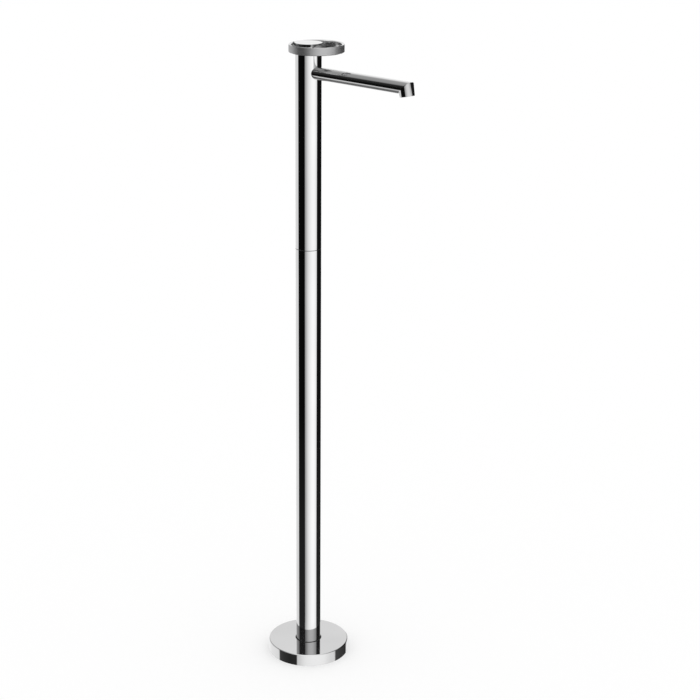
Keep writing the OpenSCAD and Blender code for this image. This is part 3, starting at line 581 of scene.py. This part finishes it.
# %% Spout: bar and outlet
BAR_START, ROOT_END, SPOUT_WALL, NIPPLE_R, MOUTH_REACH = 14.0, 38.5, 1.5, 7.05, 13.0
mitre = math.atan2(math.cos(OUTLET_LEAN), BAR_HALF / BAR_R - math.sin(OUTLET_LEAN))
beyond = Vector((math.sin(mitre), 0, -math.cos(mitre)))
corner = mm(SPOUT_REACH, 0, SPOUT_Z)


def flattened_bar(name, radius, start_x, closed):
    """A cylinder along the spout with its halves drawn apart, cut off at the mitre."""
    piece = rod(name, radius, (start_x, 0, SPOUT_Z), (SPOUT_REACH + 30, 0, SPOUT_Z), SPOUT_FACETS)
    bpy.ops.object.mode_set(mode="EDIT")
    for side in (1, -1):
        pick(piece, lambda co: co.y * side > 1e-5)
        bpy.ops.transform.translate(value=(0, side * mm(BAR_HALF - BAR_R), 0))
    bpy.ops.mesh.select_all(action="SELECT")
    bpy.ops.mesh.bisect(plane_co=corner, plane_no=beyond, clear_outer=True, use_fill=closed)
    bpy.ops.object.mode_set(mode="OBJECT")
    return piece


bar = flattened_bar("spout_chrome", BAR_R, BAR_START, False)
down = Vector((math.sin(OUTLET_LEAN), 0, -math.cos(OUTLET_LEAN)))
mouth = corner + down * mm(OUTLET_LENGTH)
put_everything_down()
bpy.ops.mesh.primitive_circle_add(
    vertices=SPOUT_FACETS, radius=mm(OUTLET_R), location=mouth, rotation=(0, -OUTLET_LEAN, 0)
)
named("outlet_rim")
bar.select_set(True)
bpy.context.view_layer.objects.active = bar
bpy.ops.object.join()
bpy.ops.object.mode_set(mode="EDIT")


def on_mitre(co):
    return abs((co - corner).dot(beyond)) < 1e-6


def on_mouth(co):
    return abs((co - mouth).dot(down)) < 1e-6 and (co - mouth).length < mm(MOUTH_REACH)


pick(bar, lambda co: on_mitre(co) or on_mouth(co), "EDGE")
bpy.ops.mesh.bridge_edge_loops()
print("spout faces:", len(bar.data.polygons))

# %% [markdown]
# The mouth gets its wall: the round is filled, inset to the bore and pushed up, which
# leaves a recess for the aerator. The mitre and both rims of the mouth are softened a
# little, because a polished edge is never knife-sharp. Then the bar is bored out, down to
# a thin wall and a solid root that slides over the nipple, the root is cut to the
# column's round, and the small hole for the grub screw is drilled from below.

# %% Spout: mouth, mitre and root
MITRE_ROUND, OUTER_ROUND, INNER_ROUND = 0.6, 0.3, 0.2
COLUMN_SEAT, GRUB_R, GRUB_X, GRUB_TOP = 0.05, 2.05, 30.0, 6.2
pick(bar, on_mouth, "EDGE")
bpy.ops.mesh.edge_face_add()
bpy.ops.mesh.select_mode(type="FACE")
bpy.ops.mesh.inset(thickness=mm(OUTLET_R - AERATOR_R))
bpy.ops.mesh.extrude_region_move(TRANSFORM_OT_translate={"value": -down * mm(AERATOR_DEPTH)})
pick(bar, on_mitre, "EDGE")
bpy.ops.mesh.bevel(offset=mm(MITRE_ROUND), segments=4, affect="EDGES")
pick(bar, lambda co: on_mouth(co) and (co - mouth).length > mm(OUTLET_R - 0.1), "EDGE")
bpy.ops.mesh.bevel(offset=mm(OUTER_ROUND), segments=3, affect="EDGES")
pick(bar, lambda co: on_mouth(co) and (co - mouth).length < mm(AERATOR_R + 0.1), "EDGE")
bpy.ops.mesh.bevel(offset=mm(INNER_ROUND), segments=2, affect="EDGES")
bpy.ops.object.mode_set(mode="OBJECT")
clean(bar)
combine(bar, flattened_bar("bore", BAR_R - SPOUT_WALL, ROOT_END, True), "DIFFERENCE")
for name, radius, start, end, facets in (
    ("nipple_hole", NIPPLE_R, (0, 0, SPOUT_Z), (ROOT_END + 1, 0, SPOUT_Z), 64),
    ("column_room", COLUMN_R + COLUMN_SEAT, (0, 0, SPOUT_Z - 30), (0, 0, SPOUT_Z + 30), FINE),
    ("grub_hole", GRUB_R, (GRUB_X, 0, SPOUT_Z - 15), (GRUB_X, 0, SPOUT_Z - GRUB_TOP), 48),
):
    combine(bar, rod(name, radius, start, end, facets), "DIFFERENCE")
finish_piece(bar, "stand", chrome, ["spout"], 0)

# %% [markdown]
# ## The floor
# The picture stands on a plain white floor. Its paint is part diffuse, so it keeps the
# soft shadow at the foot, and part glow for the camera, so that it reaches the white of
# the surroundings and no horizon shows. Glossy and transmitted rays pass through it to
# the studio below, because the photograph's chrome mirrors one even studio from top to
# bottom.

# %% Floor
put_everything_down()
FLOOR_R, PAINT = 30, 0.6
bpy.ops.mesh.primitive_circle_add(vertices=96, radius=FLOOR_R, fill_type="NGON")
floor = named("floor")
floor_paint = bpy.data.materials.new("floor_paint")
floor_paint.use_nodes = True
floor_nodes, floor_links = floor_paint.node_tree.nodes, floor_paint.node_tree.links
floor_nodes.remove(floor_nodes["Principled BSDF"])
diffuse = add_node(floor_paint, "ShaderNodeBsdfDiffuse")
diffuse.inputs["Color"].default_value = (PAINT, PAINT, PAINT, 1)
glow = add_node(floor_paint, "ShaderNodeEmission")
light_path = add_node(floor_paint, "ShaderNodeLightPath")
glow_strength = add_node(floor_paint, "ShaderNodeMath", operation="MULTIPLY")
glow_strength.inputs[1].default_value = 1 - PAINT
both = add_node(floor_paint, "ShaderNodeAddShader")
clear = add_node(floor_paint, "ShaderNodeBsdfTransparent")
mirrored = add_node(floor_paint, "ShaderNodeMath", operation="MAXIMUM")
choose = add_node(floor_paint, "ShaderNodeMixShader")
floor_links.new(light_path.outputs["Is Camera Ray"], glow_strength.inputs[0])
floor_links.new(glow_strength.outputs[0], glow.inputs["Strength"])
floor_links.new(diffuse.outputs[0], both.inputs[0])
floor_links.new(glow.outputs[0], both.inputs[1])
floor_links.new(light_path.outputs["Is Glossy Ray"], mirrored.inputs[0])
floor_links.new(light_path.outputs["Is Transmission Ray"], mirrored.inputs[1])
floor_links.new(mirrored.outputs[0], choose.inputs["Fac"])
floor_links.new(both.outputs[0], choose.inputs[1])
floor_links.new(clear.outputs[0], choose.inputs[2])
floor_links.new(choose.outputs[0], floor_nodes["Material Output"].inputs["Surface"])
floor.data.materials.append(floor_paint)
print("floor radius", FLOOR_R, "m")

# %% [markdown]
# ## The studio
# Chrome is a picture of its room. In the photograph a white room stands round the mixer
# with tall black flags to the left and right of it, so the column shows a black band
# near each edge and a soft ramp from grey to white between them. The world is that room.
# Its walls are drawn as four rings, each a ramp over the bearing, counted from the camera
# to the right: the level ring, which the column mirrors, the high ring some 28 degrees
# up, which the flat cover mirrors, the foot ring as far down, which the cover's wall
# mirrors, and the low ring 45 degrees down for the undersides. The floor lights the black
# flags a little from below. A dim ceiling with one bright ring of lamps closes the room,
# and those lamps draw the light lines along the bevels. Only glossy and transmitted rays
# see all this. The camera sees plain white, and all other light is an even white of
# strength 1, at which a colour looks as it is written.

# %% Tables of the studio
CAMERA_BEARING = math.radians(-45)
LEVEL_RING = [  # degrees to the right of the camera's bearing: brightness
    (-180, 1.0), (-102, 1.0), (-99, 0.006), (-33, 0.003), (-30, 0.42), (-18, 0.68),
    (-8, 0.95), (2, 1.14), (12, 1.26), (24, 1.38), (38, 1.46), (52, 1.45), (62, 1.36),
    (73, 1.2), (79, 1.1), (82, 0.008), (164, 0.006), (168, 1.2), (175, 1.0), (180, 1.0),
]
FOOT_RING = [
    (-180, 1.0), (-153, 1.03), (-121, 1.07), (-96.5, 1.02), (-93.5, 0.05), (-77, 0.02),
    (-55, 0.003), (-35, 0.008), (-32.5, 0.80), (-25, 0.89), (-17, 1.04), (-8, 1.15),
    (0, 1.19), (12, 1.22), (30, 1.22), (48, 1.18), (58, 1.08), (67, 0.99), (84.5, 0.96),
    (87.5, 0.065), (107, 0.04), (145, 0.01), (148, 1.0), (180, 1.0),
]
HIGH_RING = [
    (-180, 1.0), (-165, 0.90), (-150, 0.62), (-125, 0.46), (-105, 0.36), (-99, 0.25),
    (-95, 0.05), (-88, 0.02), (-33, 0.015), (-30, 0.24), (-18, 0.42), (-8, 0.63), (1, 0.78),
    (12, 0.88), (28, 0.91), (40, 0.88), (50, 0.81), (60, 0.68), (72, 0.53), (81, 0.45),
    (84, 0.02), (148, 0.015), (151, 0.9), (166, 1.0), (180, 1.0),
]
LOW_RING = [
    (-180, 0.30), (-165, 0.18), (-150, 0.24), (-140, 0.15), (-118, 0.15), (-108, 0.34),
    (-97, 0.50), (-93.5, 0.50), (-91, 0.02), (-33, 0.015), (-30, 0.25), (0, 0.40),
    (50, 0.45), (81, 0.40), (84, 0.02), (148, 0.015), (151, 0.25), (180, 0.30),
]
HEIGHTS = [  # degrees above the horizon: brightness of all rings
    (-90, 0.5), (-60, 0.7), (-45, 1.0), (2, 1.0), (7, 1.08), (16, 1.05), (26, 1.0), (90, 1.0),
]
HIGH_SHARE = [(-3, 0.0), (6, 1.0)]
FOOT_SHARE = [(-28.1, 1.0), (-27.65, 0.0)]
LOW_SHARE = [(-42, 1.0), (-30.5, 0.0)]
FLOOR_GLOW = [(-90, 0.024), (-28, 0.024), (-25, 0.016), (-20.5, 0.0), (90, 0.0)]
CEILING = [
    (28, 0.55), (38, 0.42), (48, 0.42), (55, 0.80), (60, 1.40), (66, 1.30), (76, 0.60),
    (84, 0.40),
]
CEILING_SHARE = [(28, 0.0), (36, 0.40), (44, 0.75), (52, 1.0)]
print("bearings in the level ring:", len(LEVEL_RING))

# %% [markdown]
# The room is worked out by math nodes, and three helpers write them like a formula: calc
# is one math node, ramp_of looks a value up in a table, and blend_of fades from one value
# to another.

# %% Helpers for the world
world = bpy.data.worlds.new("studio")
bpy.context.scene.world = world
world.use_nodes = True
world_nodes, world_links = world.node_tree.nodes, world.node_tree.links
world_nodes.clear()


def world_node(kind, **settings):
    return add_node(world, kind, **settings)


def calc(operation, a, b=None):
    """A math node on sockets or numbers."""
    node = world_node("ShaderNodeMath", operation=operation)
    for socket, value in zip(node.inputs, (a, b)):
        if isinstance(value, (int, float)):
            socket.default_value = value
        elif value is not None:
            world_links.new(value, socket)
    return node.outputs[0]


def ramp_of(fac, table, low, high):
    """A ramp over degrees from low to high, with brightness halved to stay within 1."""
    node = world_node("ShaderNodeValToRGB")
    ramp = node.color_ramp
    while len(ramp.elements) < len(table):
        ramp.elements.new(0.5)
    for element, (degrees, _) in zip(ramp.elements, table):
        element.position = (degrees - low) / (high - low)
    for element, (_, level) in zip(ramp.elements, table):
        element.color = (level / 2, level / 2, level / 2, 1)
    world_links.new(fac, node.inputs["Fac"])
    return calc("MULTIPLY", node.outputs["Color"], 2.0)


def blend_of(share, one, other):
    """One value where share is 0, the other where it is 1."""
    kept = calc("MULTIPLY", one, calc("SUBTRACT", 1.0, share))
    return calc("ADD", kept, calc("MULTIPLY", other, share))


# %% [markdown]
# The direction of a ray, turned so that zero is the camera's bearing, gives a bearing and
# a height. Each ring is looked up by bearing, and the height says how much of it counts.

# %% The studio's nodes
sight = world_node("ShaderNodeTexCoord").outputs["Generated"]
turn = world_node("ShaderNodeVectorRotate", rotation_type="Z_AXIS")
turn.inputs["Angle"].default_value = -CAMERA_BEARING
world_links.new(sight, turn.inputs["Vector"])
split = world_node("ShaderNodeSeparateXYZ")
world_links.new(turn.outputs[0], split.inputs[0])
bearing = calc("ARCTAN2", split.outputs["Y"], split.outputs["X"])
bearing_share = calc("ADD", calc("DIVIDE", bearing, 2 * math.pi), 0.5)
height = calc("ARCSINE", split.outputs["Z"])
height_share = calc("ADD", calc("DIVIDE", height, math.pi), 0.5)
walls = ramp_of(bearing_share, LEVEL_RING, -180, 180)
for share, ring in ((HIGH_SHARE, HIGH_RING), (FOOT_SHARE, FOOT_RING), (LOW_SHARE, LOW_RING)):
    reach = ramp_of(height_share, share, -90, 90)
    walls = blend_of(reach, walls, ramp_of(bearing_share, ring, -180, 180))
walls = calc("MULTIPLY", walls, ramp_of(height_share, HEIGHTS, -90, 90))
walls = calc("ADD", walls, ramp_of(height_share, FLOOR_GLOW, -90, 90))
ceiling = ramp_of(height_share, CEILING, -90, 90)
room = blend_of(ramp_of(height_share, CEILING_SHARE, -90, 90), walls, ceiling)
path = world_node("ShaderNodeLightPath")
reflected = calc("MAXIMUM", path.outputs["Is Glossy Ray"], path.outputs["Is Transmission Ray"])
strength = blend_of(reflected, 1.0, room)
background = world_node("ShaderNodeBackground")
background.inputs["Color"].default_value = (1, 1, 1, 1)
world_links.new(strength, background.inputs["Strength"])
world_output = world_node("ShaderNodeOutputWorld")
world_links.new(background.outputs[0], world_output.inputs["Surface"])
print("studio world with", len(world_nodes), "nodes")

# %% [markdown]
# ## The camera
# A fit of the photograph puts its camera about 2.83 m away and 1.5 m above the floor,
# with the spout pointing half towards it. A camera that looks down from there keeps the
# object in the middle of every other view as well, at the price of verticals that run
# together a little. The lens is shifted a little sideways, as the framing asks.

# %% Camera
CAMERA_DISTANCE, CAMERA_HEIGHT = 2.827, 1.513
CAMERA_PITCH, SIDE_SHIFT = math.radians(18.55), 0.0594
FOCAL_PIXELS, IMAGE_PIXELS, SENSOR = 1755, 700, 36
camera_data = bpy.data.cameras.new("camera")
camera = bpy.data.objects.new("camera", camera_data)
bpy.context.scene.collection.objects.link(camera)
bpy.context.scene.camera = camera
away = Vector((math.cos(CAMERA_BEARING), math.sin(CAMERA_BEARING), 0))
camera.location = away * CAMERA_DISTANCE + Vector((0, 0, CAMERA_HEIGHT))
looking = -away * math.cos(CAMERA_PITCH) - Vector((0, 0, math.sin(CAMERA_PITCH)))
camera.rotation_euler = looking.to_track_quat("-Z", "Y").to_euler()
camera_data.sensor_width = SENSOR
camera_data.lens = FOCAL_PIXELS / IMAGE_PIXELS * SENSOR
camera_data.shift_x = SIDE_SHIFT
camera_data.clip_end = 200
bpy.context.scene.view_settings.view_transform = "Standard"
print("lens:", round(camera_data.lens, 1), "mm")

# %% [markdown]
# ## The count
# The number of pieces that were modelled again is printed.

# %% Count of pieces
print("pieces made:", len(made_pieces))
